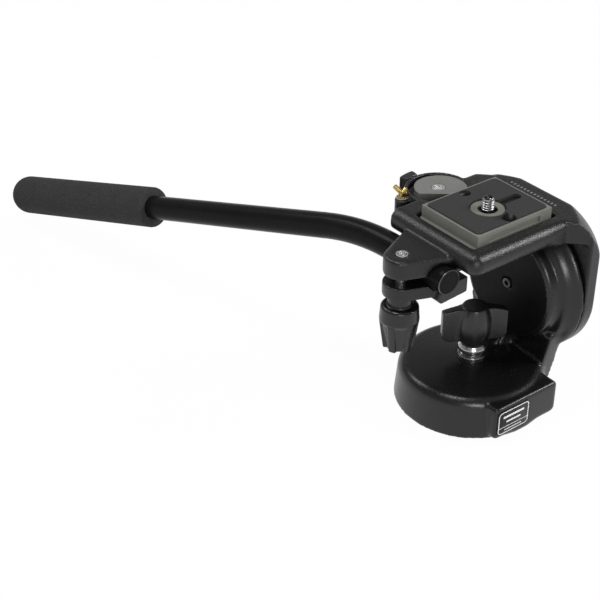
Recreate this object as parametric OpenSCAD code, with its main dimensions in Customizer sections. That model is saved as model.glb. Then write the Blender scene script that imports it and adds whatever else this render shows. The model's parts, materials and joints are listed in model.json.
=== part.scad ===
// Fluid video head with a quick-release plate and a bent pan bar, in millimetres.
// The origin is on the pan axis, at the face that sits on the tripod. +Z is up,
// +X runs along the tilt axis to the side plate, +Y runs back towards the grip.

/* [Base and pan] */
// Outside diameter of the round base housing
base_d = 81.2; // [77:0.2:85]
// Draft of the base's side, from its foot to its top edge
base_draft = 1.5; // [0:0.1:1.5]
// Height of the base's crown above the tripod
base_h = 26.5; // [24:0.5:28]
// Rounding of the base's top edge
base_edge_r = 6.5; // [3:0.5:7]
// Rise of the base's top from its edge to its crown
base_crown = 3; // [1:0.25:4]
// Wall of the base housing
base_wall = 4.5; // [4:0.25:5.5]
// Gap under the base housing
base_lift = 0.5; // [0.5:0.25:2]
// Gap round the fixed mounting disc, inside the base housing
mount_gap = 2.8; // [1.5:0.1:5]
// Thickness of the fixed mounting disc
mount_t = 5; // [5:0.25:6]
// Bore of the 3/8 inch tripod thread, at its minor diameter
tripod_bore_d = 7.94; // [7.8:0.02:8.2]
// Outside diameter of the tripod thread insert
insert_d = 12; // [11:0.5:13]
// Length of the tripod thread insert
insert_l = 12; // [9:0.5:12.5]
// Diameter of the pan spindle
spindle_d = 28; // [27:0.5:30]
// Diameter of the drag flange on top of the spindle
flange_d = 46; // [40:0.5:48]
// Thickness of the drag flange
flange_t = 3.5; // [3:0.25:4]
// Thickness of the pan bearing plate
bearing_t = 4; // [3.5:0.25:4.5]
// Wall of the pan bush
pan_bush_wall = 2.4; // [1.5:0.1:3]
// Thickness of the pan drag ring
pan_drag_t = 2.2; // [1.5:0.1:2.5]
// Room between the drag flange and the roof of the housing
roof_gap = 2; // [1.5:0.1:2.4]
// Diameter of the pan brake pad
brake_pad_d = 12; // [10:0.5:14]
// Thickness of the pan brake pad
brake_pad_t = 2.6; // [2.4:0.1:3]

/* [Label block] */
// Width of the block on the front of the base
block_w = 44.4; // [38:0.2:48]
// Middle of the block along the tilt axis, from the pan axis
block_x = 1.9; // [0:0.1:3]
// How far the block stands out from the round base
block_out = 0.1; // [0:0.1:4]
// Underside of the block above the tripod
block_z = 2.5; // [2:0.25:5]
// Height of the block
block_h = 19; // [17:0.5:20]
// Rounding of the block's upright edges
block_r = 1.6; // [0.8:0.2:3]
// Rounding of the corners of the block's front
block_corner_r = 2.6; // [1:0.2:4]
// Width of the label plate
label_w = 22; // [16:0.5:26]
// Height of the label plate
label_h = 14.6; // [10:0.2:16]
// Thickness of the label plate
label_t = 0.8; // [0.6:0.1:1.2]
// Middle of the label plate, left of the block's middle
label_offset = 9.6; // [6:0.2:10]

/* [Upright and tilt drum] */
// Height of the tilt axis
tilt_z = 62.4; // [60:0.2:66]
// Plane where the drum meets the side plate
drum_x = 36.7; // [35.5:0.1:38]
// Diameter of the drum's outer rim
drum_d = 81.8; // [79:0.2:83]
// Width of the drum's outer rim
drum_rim_w = 1.8; // [1.5:0.1:2.5]
// Diameter of the drum's middle ring
drum_ring_d = 72.4; // [70:0.2:73]
// Width from the drum's middle ring to the side plate
drum_ring_w = 8.2; // [7.5:0.1:9]
// Diameter of the drum's inner face
drum_face_d = 63; // [61:0.2:65]
// Width from the drum's inner face to the side plate
drum_face_w = 14.8; // [13.5:0.1:15.5]
// Rounding of the drum's steps
drum_edge_r = 2.6; // [1.5:0.1:3]
// Wall of the drum
drum_wall = 3; // [2.5:0.1:3.5]
// Wall of the drum's inner face
drum_face_wall = 3.5; // [3.2:0.1:4]
// Width of the upright at its foot
upright_foot_w = 42; // [38:1:48]
// Width of the upright where it joins the drum
upright_top_w = 61; // [54:1:68]
// Thickness of the upright
upright_t = 10.7; // [9:0.1:12]
// Thickness of the gusset between base and drum
gusset_t = 3; // [2:0.25:4]
// Reach of the gusset along the base
gusset_reach = 11; // [6:0.5:12]
// Height of the gusset above the base's crown
gusset_h = 13.5; // [10:0.5:16]
// Diameter of the tilt axle
axle_d = 16; // [14:0.5:18]
// Wall of the tilt bush
tilt_bush_wall = 2.5; // [1.5:0.1:3.5]
// Thickness of the tilt drag ring
tilt_drag_t = 4; // [3:0.1:4.4]
// Thickness of the tilt rotor
rotor_t = 3; // [2:0.1:3]
// Diameter of the rotor's hub
rotor_hub_d = 32; // [30:0.5:36]

/* [Platform] */
// Height of the platform's top
platform_top = 109.8; // [108.8:0.2:112]
// Thickness of the platform
platform_t = 12.3; // [11.9:0.1:12.8]
// Left edge of the platform, from the pan axis
platform_left = 33.3; // [32.5:0.1:34.5]
// Front edge of the platform, from the pan axis
platform_front = 30.5; // [29.5:0.1:33]
// Back edge of the platform beside the cam, from the pan axis
platform_back = 36; // [34:0.1:37]
// Radius of the platform's right end about the pan axis
arc_r = 46; // [45:0.1:47]
// Back edge of the platform's left arm, from the pan axis
platform_left_back = 32.4; // [28:0.1:33]
// Rounding of the platform's front rim
rim_r = 4.2; // [3:0.1:4.2]
// Rounding between the platform's top and the side plate's outer face
side_edge_r = 2; // [1:0.1:4]
// Rounding of the side plate's upright edges
side_corner_r = 1.2; // [1:0.1:4]
// Reach of the web between the platform's front and the side plate
front_web_w = 8; // [4:0.5:9]
// Thickness of the side plate
side_t = 7.8; // [7:0.1:9]
// Radius of the side plate about the tilt axis
side_r = 40.5; // [40:0.1:42]
// Rounding of the side plate's upper corners, in height and round the pan axis
dome_r = 30; // [26:0.5:30]
// Reach of that rounding from the pan axis
dome_reach = 60.3; // [60.2:0.1:62]
// Depth of that rounding below the platform's top
dome_drop = 24.9; // [22:0.1:26]
// Depth of the tray for the quick-release plate
tray_depth = 4.8; // [4:0.1:5.2]
// Room in the tray at each end of the plate
tray_room = 2; // [0.5:0.1:2.4]

/* [Quick-release plate] */
// Middle of the plate along the tilt axis, from the pan axis
plate_x = 2.3; // [0.5:0.1:2.6]
// Length of the plate's top
plate_w = 50; // [48:0.5:50.5]
// Depth of the plate's top
plate_d = 40.7; // [39:0.1:41]
// How far the plate's foot stands out on each long side
plate_foot = 1; // [0.6:0.1:1.2]
// How far the plate's foot stands out at each end
plate_end_foot = 1.25; // [0.8:0.05:1.5]
// Height of the plate
plate_h = 9.8; // [9:0.1:11]
// Thickness of the rubber pad
pad_t = 1.8; // [1.2:0.1:2]
// Depth of the band sunk in each long side of the plate
band_depth = 0.7; // [0.3:0.1:1]
// Length of the blocks left beside the sunk band
band_post = 8; // [4:0.5:12]
// Depth of the pad's seat in the plate
pad_seat = 1.3; // [0.8:0.1:1.5]
// Metal rim left round the pad
pad_rim = 1.4; // [1:0.1:2.5]
// Diameter of the 1/4 inch camera screw
camera_screw_d = 6.35; // [6:0.05:6.5]
// How far the camera screw stands above the pad
camera_screw_l = 5.6; // [4:0.1:8]
// Diameter of the anti-twist pin
pin_d = 4.2; // [4:0.1:5]
// How far the anti-twist pin stands above the pad
pin_l = 3.6; // [3.2:0.1:4.5]
// Travel of the anti-twist pin
pin_travel = 3; // [2:0.1:3]

/* [Lock of the plate] */
// Cam axis along the tilt axis, from the pan axis
cam_x = 2.5; // [1.5:0.1:3.5]
// Cam axis behind the pan axis
cam_y = 36; // [35.5:0.1:36.5]
// Diameter of the cam disc
cam_d = 27.2; // [26:0.1:27.4]
// Offset of the cam disc from its axis
cam_offset = 1.6; // [1.2:0.1:1.7]
// Distance of the disc's flat from the cam axis
cam_flat = 7.5; // [6.5:0.1:8.5]
// Wall of the round housing of the cam
cam_wall = 1.9; // [1.5:0.1:2.5]
// Diameter of the lever's shaft
lever_shaft_d = 9; // [8:0.5:10]
// Thickness of the lever
lever_t = 5.6; // [5.2:0.1:6]
// Radial depth of the lever's finger tab
tab_d = 4.8; // [3.5:0.1:5.5]
// Angle covered by the lever's finger tab
tab_angle = 26; // [20:1:28]
// Post of the safety catch along the tilt axis, left of the pan axis
catch_x = 17; // [16.5:0.1:17.5]
// Post of the safety catch behind the pan axis
catch_y = 41.5; // [40.5:0.1:42]
// Diameter of the safety catch's post
catch_post_d = 8; // [7.5:0.1:8.4]
// Length of the safety catch's finger pin
catch_pin_l = 6.5; // [6:0.5:9]
// Diameter of the safety catch's finger pin
catch_pin_d = 2.6; // [2.2:0.1:3]

/* [Bar clamp and pan bar] */
// Diameter of the pan bar's tube
bar_d = 14; // [13:0.2:15]
// Wall of the pan bar's tube
bar_wall = 1.5; // [1:0.1:2]
// Bar axis left of the pan axis
bar_x = 36.6; // [36.4:0.1:38]
// Height of the bar axis in the clamp
bar_z = 93; // [92.5:0.1:93.3]
// Front end of the bar, ahead of the pan axis
bar_front = 16.4; // [14:0.1:17]
// Where the bar's bend begins, behind the pan axis
bend_y = 21.2; // [20.8:0.1:50]
// Radius of the bar's bend
bend_r = 150; // [60:1:160]
// Angle of the bar's bend
bend_angle = 20; // [10:1:30]
// Turn of the bent bar, outwards from straight down
bend_roll = 40; // [20:1:70]
// Straight length of the bar behind the bend
bar_l = 269; // [220:1:320]
// Diameter of the foam grip
grip_d = 24; // [20:0.2:28]
// Length of the foam grip
grip_l = 132; // [100:1:160]
// Height of the clamp's ear
ear_top = 104.9; // [104.2:0.1:105.4]
// Middle of the clamp screw, left of the pan axis
clamp_x = 50.4; // [49:0.1:52]
// Middle of the clamp screw, behind the pan axis
clamp_y = 2.4; // [0:0.1:3]
// Radius of the ear's round end
ear_r = 9.2; // [8:0.1:10]
// Front of the ear's root, ahead of the pan axis
ear_front = 14.6; // [13:0.1:16]
// Back of the ear's root, behind the pan axis
ear_back = 21.5; // [18:0.1:23]
// Slot between the clamp's jaws
jaw_slot = 4.8; // [3:0.1:5]
// Middle of that slot below the bar axis
slot_drop = 1; // [0:0.1:1.5]
// Thickness of the lower jaw
jaw_t = 7; // [5.5:0.1:8]
// Wall of the lower jaw round the bar
jaw_wall = 6.3; // [4:0.1:6.6]
// Diameter of the clamp screw
clamp_screw_d = 5; // [4:0.5:6]
// Diameter of the clamp knob
clamp_knob_d = 20.4; // [18:0.2:20.6]
// Diameter of the clamp knob's tip
clamp_knob_tip_d = 12.4; // [10:0.2:14]
// Height of the clamp knob
clamp_knob_h = 25; // [20:0.5:28]
// Length of the clamp knob's neck
clamp_neck_l = 5; // [4:0.2:11]
// Ribs on the clamp knob
clamp_ribs = 6; // [4:1:8]

/* [Wing knobs] */
// Diameter of the threaded studs of the wing knobs
stud_d = 8; // [7:0.5:9]
// Span of the wings
wing_span = 34.8; // [30:0.2:36]
// Height of a wing knob with its ferrule
wing_knob_h = 29.2; // [27:0.2:32]
// Height of the wings
wing_h = 20.4; // [16:0.2:21]
// Thickness of the wings
wing_t = 4.8; // [4:0.1:6]
// Rounding of the wings' corners
wing_r = 4.2; // [1.5:0.1:5]
// Arch of the wings' top
wing_arch_r = 52; // [26:0.5:60]
// Hollow corners between the wings and the hub
wing_fillet = 12; // [3:0.25:13]
// Diameter of a wing knob's hub
wing_hub_d = 17.6; // [16:0.2:18]
// Diameter of the ferrule under a wing knob
ferrule_d = 15.4; // [13:0.2:15.8]
// Height of the ferrule under a wing knob
ferrule_h = 6.5; // [5:0.1:8]
// Thickness of the washer under a wing knob
washer_t = 1.2; // [0.8:0.1:1.6]

/* [Fits] */
// Radial clearance of a running or screwed fit
fit = 0.05; // [0.03:0.01:0.08]
// Clearance between pieces that move past each other
gap = 0.5; // [0.4:0.05:0.6]
// Grease film between sliding faces
film = 0.15; // [0.1:0.05:0.2]

/* [Hidden] */
$fn = 72;
// How far a cut runs past the faces that it opens
cut = 1;
// A length larger than the head itself
beyond = 200;

// Pan works, from the tripod upwards
bearing_z = mount_t + gap;
bearing_top = bearing_z + bearing_t;
flange_z = bearing_top + pan_drag_t + film;
flange_top = flange_z + flange_t;
roof_z = flange_top + roof_gap;
brake_z = flange_top + film;
brake_top = brake_z + brake_pad_t;
cavity_d = base_d - 2 * base_wall;
mount_d = cavity_d - 2 * mount_gap;
block_y = base_d / 2 + block_out;
pan_bush_d = spindle_d + 2 * fit + 2 * pan_bush_wall;
label_z = block_z + (block_h - label_h) / 2;
post_d = 8;
post_in = 1;
post_at = cavity_d / 2 - post_d / 2 - post_in;
bearing_screw_d = 3;
bearing_head_d = 5.6;
bearing_head_h = 2.3;
spindle_screw_d = 4;
spindle_head_d = 6;
spindle_head_h = 2.6;
spindle_screw_at = (insert_d / 2 + spindle_d / 2) / 2;

// Upright and drum, along the tilt axis
upright_x = drum_x - upright_t;
drum_face_x = drum_x - drum_face_w;
drum_floor_x = drum_face_x + drum_face_wall;
drum_pocket_d = drum_face_d - 2 * drum_wall;
drum_bowl_d = drum_ring_d - 2 * drum_wall;
drum_bowl_x = drum_x - drum_ring_w + drum_wall;
axle_collar_rim = 3;
axle_collar_d = axle_d + 2 * axle_collar_rim;
axle_collar_t = 2;
axle_screw_d = 3;
axle_head_d = 5.6;
axle_head_h = 3;
axle_head_out = 0.6;
axle_screw_l = 11;
side_x = drum_x + gap;
side_out_x = side_x + side_t;
tilt_bush_d = axle_d + 2 * fit + 2 * tilt_bush_wall;
rotor_x = max(drum_floor_x + tilt_drag_t, drum_bowl_x) + film;
rotor_pin_d = 3;
rotor_pin_l = 6;
rotor_pin_at = (tilt_bush_d / 2 + rotor_hub_d / 2) / 2;
seal_w = 2.6;
seal_t = 2.2;
seal_out = 2.5;
seal_d = drum_ring_d + 2 * seal_out;
thrust_washer_d = 26;
tilt_knob_x = side_out_x + washer_t + film;
stud_in_knob = 9;
stud_l = ferrule_h + stud_in_knob;
pan_knob_dir = -30;
tilt_knob_dir = 135;
ferrule_step = 1.2;
barrel_r = 30;
barrel_h = wing_knob_h - ferrule_h;
hub_end_r = wing_hub_d / 2 - barrel_r + sqrt(barrel_r * barrel_r - barrel_h * barrel_h / 4);
fillet_sink = 0.3;
wing_drop = 0.4;
crown_rim = 2;

// Platform
platform_z = platform_top - platform_t;
tray_z = platform_top - tray_depth;
left_corner_r = 1.5;
left_rim_r = platform_t / 2;
tray_r = 2;
cam_sweep_r = cam_d / 2 + cam_offset + gap;
cam_boss_r = cam_sweep_r + cam_wall;
plate_top = tray_z + plate_h;
pad_top = plate_top - pad_seat + pad_t;
foot_w = plate_w + 2 * plate_end_foot;
foot_d = plate_d + 2 * plate_foot;
plate_r = 2.2;
pad_r = 2.4;
foot_lip = 1.9;
slope_top = 3.4;
band_low = 4.2;
plate_rim_h = 2.4;
band_high = plate_h - plate_rim_h;
camera_screw_in = 1.3;
camera_screw_y = -2;
camera_screw_at = [plate_x - camera_screw_in, camera_screw_y];
camera_head_d = 13;
camera_head_h = 3.4;
camera_neck_in = 0.6;
camera_neck_d = camera_screw_d - 2 * camera_neck_in;
camera_slot_w = 1.6;
camera_slot_h = 1.2;
screw_ring_d = 18.4;
screw_recess_d = 10;
screw_recess_h = 2;
screw_ring_t = 1;
screw_ring_top = plate_top - pad_seat + screw_ring_t;
pad_slot_l = plate_w * 0.36;
pad_slot_w = screw_ring_d * 0.28;
pin_in = 0.3;
pin_edge = 4.6;
pin_at = [plate_x - pin_in, -plate_d / 2 + pin_edge];
pin_collar_rim = 0.9;
pin_collar_d = pin_d + 2 * pin_collar_rim;
pin_hole_rim = 0.8;
pin_collar_t = 1.2;
pin_roof = 1.6;
pin_well_top = plate_top - pad_seat - pin_roof;
pin_wire_d = 0.4;
pin_turns = 4;
pin_collar_z = pin_well_top - film - pin_collar_t;
pin_plug_t = pin_collar_z - pin_travel - pin_turns * pin_wire_d - tray_z;

// Lock lever and safety catch, about their own axes
cam_lift = 0.4;
cam_proud = 0.2;
cam_z = tray_z + cam_lift;
cam_top = platform_top + cam_proud;
cam_face_t = 2;
cam_step = 1;
cross_w = 1;
cross_h = 0.9;
flat_dir = -128.5;
offset_dir = -60;
tab_dir = 98;
arm_w = 10;
tab_r = cam_boss_r + gap;
lever_z = platform_z - gap - lever_t;
lever_rim = 5;
lever_hub_d = lever_shaft_d + 2 * lever_rim;
cam_screw_d = 4;
cam_screw_head_d = 7.4;
cam_screw_head_h = 1.6;
lever_wire_d = 0.9;
lever_coil_out = 1.6;
lever_coil_r = lever_shaft_d / 2 + lever_coil_out;
lever_floor = 1.5;
tab_drop = 0.2;
tab_top = platform_top - tab_drop;
cam_screw_end = 2;
cam_screw_z = lever_z + cam_screw_end;
coil_air = 0.2;
coil_turns = 3;
catch_at = [-catch_x, catch_y];
catch_post_drop = 2.2;
catch_post_top = platform_top - catch_post_drop;
catch_stem_d = 3.4;
catch_hub_d = 4.4;
catch_arm_l = 3.4;
catch_arm_rise = 48;
catch_hub_h = 3.4;
catch_pin_rise = 15;
catch_foot_d = 6.4;
catch_foot_t = 1.6;
catch_foot_drop = 5;
catch_foot_z = platform_z - catch_foot_drop;
catch_wire_d = 0.6;
catch_coil_out = 0.8;
catch_coil_r = catch_stem_d / 2 + catch_coil_out;

// Bar clamp
jaw_top_z = bar_z - slot_drop + jaw_slot / 2;
jaw_low_z = bar_z - slot_drop - jaw_slot / 2;
jaw_z = jaw_low_z - jaw_t;
clamp_at = [-clamp_x, clamp_y];
ear_root_in = 2;
ear_root_x = -platform_left + ear_root_in;
jaw_root_in = 11.8;
jaw_root_x = -platform_left + jaw_root_in;
heel_w = 4;
clamp_insert_wall = 0.6;
clamp_insert_d = clamp_screw_d + 2 * clamp_insert_wall;
clamp_insert_l = 8;
clamp_knob_top = jaw_z - washer_t - film - clamp_neck_l;
clamp_knob_z = clamp_knob_top - clamp_knob_h;
clamp_neck_d = 12.6;
clamp_washer_rim = 0.1;
clamp_washer_d = clamp_neck_d + 2 * clamp_washer_rim;
clamp_rib_w = 3.8;
clamp_rib_dir = 25;
clamp_rib_out = 1.6;
jaw_block_w = 16.9;
jaw_block_x = jaw_root_x - jaw_block_w;
jaw_block_slope = 2.5;
jaw_block_rise = 1.2;
jaw_block_z = bar_z - bar_d / 2 - jaw_wall;
clamp_shoulder_h = 10;
clamp_waist_in = 1;
clamp_waist_h = 2;
clamp_top_in = 0.6;
clamp_rim = 1;
clamp_rib_sink = 0.1;
clamp_screw_up = 12;
clamp_screw_low = clamp_knob_z + clamp_screw_up;
clamp_screw_sink = 4;
clamp_screw_high = ear_top - clamp_screw_sink;
plug_t = 0.8;
plug_in = 0.3;
plug_d = bar_d - 2 * plug_in;
plug_l = 8;
bore_d = bar_d - 2 * bar_wall;
bend_thinning = 0.1;

metal_black = [0.16, 0.16, 0.165];
plastic_black = [0.1, 0.1, 0.1];
chrome = [0.78, 0.79, 0.8];
steel = [0.62, 0.63, 0.65];
bronze = [0.6, 0.45, 0.25];
plate_grey = [0.48, 0.48, 0.46];
rubber = [0.2, 0.2, 0.2];
brass = [0.72, 0.56, 0.25];

// Point where a line from p touches the circle of radius r about c
function touch(p, c, r, side) =
    let (way = c - p, far = norm(way), turn = side * asin(r / far), reach = sqrt(far * far - r * r))
    p + reach / far * [way[0] * cos(turn) - way[1] * sin(turn), way[0] * sin(turn) + way[1] * cos(turn)];

// Rectangle with round corners, centred
module round_rect(w, d, r) {
    square([w - 2 * r, d], center = true);
    square([w, d - 2 * r], center = true);
    for (x = [-1, 1], y = [-1, 1])
        translate([x * (w / 2 - r), y * (d / 2 - r)]) circle(r);
}

// Upright ring from height z
module ring(d, hole, h, z = 0) {
    translate([0, 0, z]) difference() {
        cylinder(d = d, h = h);
        translate([0, 0, -cut]) cylinder(d = hole, h = h + 2 * cut);
    }
}

// Puts an upright shape on the tilt axis, pointing along +X from x
module on_tilt_axis(x) {
    translate([x, 0, tilt_z]) rotate([0, 90, 0]) children();
}

// Extrudes an outline drawn in Y and Z along +X from x
module across_x(x, w) {
    translate([x, 0, 0]) rotate([90, 0, 90]) linear_extrude(w) children();
}

// Extrudes an outline drawn in X and Z along Y, between low and high
module along_y(low, high) {
    translate([0, high, 0]) rotate([90, 0, 0]) linear_extrude(high - low) children();
}

// Copies a child round the pan axis at a radius
module around(count, radius) {
    for (i = [0 : count - 1]) rotate(360 * i / count) translate([radius, 0, 0]) children();
}

// Round wire wound into a coil, standing on z = 0
module coil(radius, wire, turns, height) {
    rings = 10 * turns;
    sides = 6;
    rise = (height - wire) / rings;
    points = [for (i = [0 : rings], j = [0 : sides - 1])
        let (a = 36 * i, b = 360 * j / sides, out = radius + wire / 2 * cos(b))
        [out * cos(a), out * sin(a), wire / 2 + rise * i + wire / 2 * sin(b)]];
    walls = [for (i = [0 : rings - 1], j = [0 : sides - 1])
        let (a = i * sides + j, b = i * sides + (j + 1) % sides)
        each [[a, a + sides, b], [b, a + sides, b + sides]]];
    start = [for (j = [1 : sides - 2]) [0, j, j + 1]];
    last = rings * sides;
    end = [for (j = [1 : sides - 2]) [last, last + j + 1, last + j]];
    polyhedron(points, concat(walls, start, end));
}

// Fixed foot: mounting disc, thread insert, spindle and its screws

module mounting_disc() {
    color(metal_black) difference() {
        cylinder(d = mount_d, h = mount_t);
        translate([0, 0, -cut]) cylinder(d = insert_d + 2 * fit, h = mount_t + 2 * cut);
        around(3, spindle_screw_at) {
            translate([0, 0, -cut]) cylinder(d = spindle_screw_d + 2 * fit, h = mount_t + 2 * cut);
            translate([0, 0, -cut]) cylinder(d = spindle_head_d + gap, h = cut + spindle_head_h + gap);
        }
    }
}

module tripod_insert() {
    color(steel) ring(insert_d, tripod_bore_d, insert_l);
}

module pan_spindle() {
    color(steel) difference() {
        union() {
            translate([0, 0, mount_t]) cylinder(d = spindle_d, h = flange_z - mount_t + cut);
            translate([0, 0, flange_z]) cylinder(d = flange_d, h = flange_t);
        }
        translate([0, 0, mount_t - cut]) cylinder(d = insert_d + 2 * fit, h = insert_l + fit - mount_t + cut);
        around(3, spindle_screw_at) translate([0, 0, mount_t - cut])
            cylinder(d = spindle_screw_d + 2 * fit, h = flange_z - mount_t + cut);
    }
}

module spindle_screws() {
    color(steel) around(3, spindle_screw_at) {
        translate([0, 0, gap]) difference() {
            cylinder(d = spindle_head_d, h = spindle_head_h);
            translate([0, 0, -cut])
                cylinder(d = spindle_screw_d * 0.75, h = cut + spindle_head_h / 2, $fn = 6);
        }
        translate([0, 0, gap + spindle_head_h / 2 + fit])
            cylinder(d = spindle_screw_d, h = flange_z - gap - spindle_head_h / 2 - 2 * fit);
    }
}

// Panning base: housing with its upright and drum, and the pan works in it

module base_round() {
    edge = base_d / 2 - base_draft - base_edge_r;
    shoulder = base_h - base_crown;
    side_top = shoulder - base_edge_r;
    rotate_extrude($fn = 120) {
        polygon([[0, base_lift], [base_d / 2, base_lift], [edge + base_edge_r, side_top], [0, side_top]]);
        translate([0, base_lift]) square([edge, shoulder - base_lift]);
        intersection() {
            translate([edge, side_top]) circle(base_edge_r);
            square([base_d, base_h]);
        }
        polygon([[0, base_lift], [edge, shoulder], [ferrule_d / 2 + crown_rim, base_h], [0, base_h]]);
    }
}

module label_block() {
    depth = block_y - cavity_d / 4;
    intersection() {
        translate([block_x, -block_y + depth / 2, block_z])
            linear_extrude(block_h) round_rect(block_w, depth, block_r);
        along_y(-beyond, 0) translate([block_x, block_z + block_h / 2])
            round_rect(block_w, block_h, block_corner_r);
    }
}

module upright() {
    across_x(upright_x, upright_t)
        polygon([[-upright_foot_w / 2, base_lift], [upright_foot_w / 2, base_lift],
                 [upright_top_w / 2, tilt_z - drum_d / 4], [-upright_top_w / 2, tilt_z - drum_d / 4]]);
}

// One step of the drum, with its inner edge rounded
module drum_step(d, w) {
    r = min(drum_edge_r, w / 2);
    on_tilt_axis(drum_x - w) rotate_extrude($fn = 120) {
        square([d / 2 - r, w]);
        translate([0, r]) square([d / 2, w - r]);
        translate([d / 2 - r, r]) circle(r, $fn = 48);
    }
}

// Flare from the drum's middle ring out to its rim, grown all round by some room
module drum_flare(room) {
    width = drum_ring_w - drum_edge_r;
    on_tilt_axis(drum_x - width - room) rotate_extrude($fn = 120)
        polygon([[0, 0], [drum_ring_d / 2 + room, 0], [drum_d / 2 + room, width - drum_rim_w],
                 [drum_d / 2 + room, width + 2 * room], [0, width + 2 * room]]);
}

// Gusset that stiffens the corner between the base and the drum
module gusset() {
    along_y(-gusset_t, 0)
        polygon([[upright_x - gusset_reach, base_h - base_crown],
                 [upright_x + cut, base_h - base_crown],
                 [upright_x + cut, base_h + gusset_h], [upright_x, base_h + gusset_h]]);
}

module base_housing() {
    color(metal_black) {
        difference() {
            union() {
                base_round();
                label_block();
                upright();
                drum_step(drum_ring_d, drum_ring_w);
                drum_step(drum_face_d, drum_face_w);
                drum_flare(0);
                gusset();
            }
            translate([drum_x, -beyond / 2, -cut]) cube([beyond, beyond, base_h + 2 * cut]);
            translate([0, 0, -cut]) cylinder(d = cavity_d, h = roof_z + cut, $fn = 120);
            cylinder(d = stud_d + 2 * fit, h = beyond);
            translate([0, 0, roof_z - cut])
                cylinder(d = brake_pad_d + 2 * gap, h = brake_top + film - roof_z + cut);
            on_tilt_axis(drum_floor_x) cylinder(d = drum_pocket_d, h = drum_x - drum_floor_x + cut);
            on_tilt_axis(drum_bowl_x) cylinder(d = drum_bowl_d, h = drum_x - drum_bowl_x + cut);
            on_tilt_axis(drum_x - seal_t) ring(seal_d + 2 * fit, seal_d - 2 * seal_w - 2 * fit, seal_t + cut);
            on_tilt_axis(drum_face_x - cut) {
                cylinder(d = axle_screw_d + 2 * fit, h = drum_face_w);
                cylinder(d = axle_head_d + gap, h = cut + axle_head_h - axle_head_out);
            }
            translate([block_x - label_offset - label_w / 2 - fit, -block_y - cut, label_z - fit])
                cube([label_w + 2 * fit, cut + label_t / 2, label_h + 2 * fit]);
        }
        around(3, post_at) difference() {
            translate([0, 0, bearing_top]) cylinder(d = post_d, h = roof_z - bearing_top + cut);
            translate([0, 0, bearing_top - cut])
                cylinder(d = bearing_screw_d + 2 * fit, h = roof_z - bearing_top + cut);
        }
    }
}

module label_plate() {
    color([0.12, 0.12, 0.13])
        translate([block_x - label_offset - label_w / 2, -block_y - label_t / 2, label_z])
        cube([label_w, label_t, label_h]);
}

module pan_bearing_plate() {
    color(metal_black) difference() {
        ring(cavity_d - 2 * fit, pan_bush_d + 2 * fit, bearing_t, bearing_z);
        around(3, post_at) translate([0, 0, bearing_z - cut]) {
            cylinder(d = bearing_screw_d + 2 * fit, h = bearing_t + 2 * cut);
            cylinder(d = bearing_head_d + gap, h = cut + bearing_head_h + film);
        }
    }
}

module pan_bush() {
    color(bronze) ring(pan_bush_d, spindle_d + 2 * fit, bearing_t, bearing_z);
}

module pan_drag_ring() {
    color([0.85, 0.84, 0.78]) ring(flange_d, spindle_d + 2 * gap, pan_drag_t, bearing_top);
}

module bearing_screws() {
    color(steel) around(3, post_at) translate([0, 0, bearing_z + film]) {
        cylinder(d = bearing_head_d, h = bearing_head_h);
        cylinder(d = bearing_screw_d, h = roof_z - bearing_z - film - gap);
    }
}

module pan_brake_pad() {
    color([0.35, 0.3, 0.25]) translate([0, 0, brake_z]) cylinder(d = brake_pad_d, h = brake_pad_t);
}

module pan_washer() {
    color(chrome) ring(ferrule_d, stud_d + 2 * gap, washer_t, base_h);
}

// Wing knobs: a ferrule and a knob with two wings, standing on z = 0

module ferrule() {
    groove = ferrule_d / 2 - ferrule_step;
    bore = stud_d / 2 + fit;
    low = ferrule_h * 0.35;
    high = ferrule_h * 0.7;
    color(chrome) rotate_extrude()
        polygon([[bore, 0], [groove, 0], [groove, low], [ferrule_d / 2, low],
                 [ferrule_d / 2, high], [groove, ferrule_h], [bore, ferrule_h]]);
}

// Plan of both wings, with hollow corners that lead into the hub
module wing_plan() {
    side = wing_t / 2 + wing_fillet;
    reach = sqrt(pow(hub_end_r - fillet_sink + wing_fillet, 2) - side * side);
    square([wing_span, wing_t], center = true);
    for (x = [-1, 1], y = [-1, 1]) difference() {
        polygon([[0, 0], [x * reach, 0], [x * reach, y * side]]);
        translate([x * reach, y * side]) circle(wing_fillet);
    }
}

// Both wings seen from the front, with an arched top
module wing_outline() {
    top = wing_knob_h - wing_drop;
    intersection() {
        translate([0, top - wing_h / 2]) round_rect(wing_span, wing_h, wing_r);
        translate([0, top - wing_arch_r]) circle(wing_arch_r, $fn = 180);
    }
}

module wing_knob() {
    middle = (ferrule_h + wing_knob_h) / 2;
    color(plastic_black) difference() {
        union() {
            rotate_extrude() intersection() {
                translate([wing_hub_d / 2 - barrel_r, middle]) circle(barrel_r, $fn = 180);
                translate([0, ferrule_h]) square([wing_hub_d, barrel_h]);
            }
            intersection() {
                linear_extrude(wing_knob_h) wing_plan();
                along_y(-wing_hub_d, wing_hub_d) wing_outline();
            }
        }
        translate([0, 0, ferrule_h - cut]) cylinder(d = stud_d + 2 * fit, h = cut + stud_l - ferrule_h + gap);
    }
}

module on_pan_knob() {
    translate([0, 0, base_h + washer_t + film]) rotate(pan_knob_dir) children();
}

module pan_lock_knob() {
    on_pan_knob() wing_knob();
}

module pan_lock_ferrule() {
    on_pan_knob() ferrule();
}

module pan_lock_screw() {
    low = brake_top + film;
    color(steel) translate([0, 0, low]) cylinder(d = stud_d, h = base_h + washer_t + film + stud_l - low);
}

module on_tilt_knob() {
    on_tilt_axis(tilt_knob_x) rotate(tilt_knob_dir) children();
}

module tilt_lock_knob() {
    on_tilt_knob() wing_knob();
}

module tilt_lock_ferrule() {
    on_tilt_knob() ferrule();
}

// Tilt works in the drum

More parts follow.
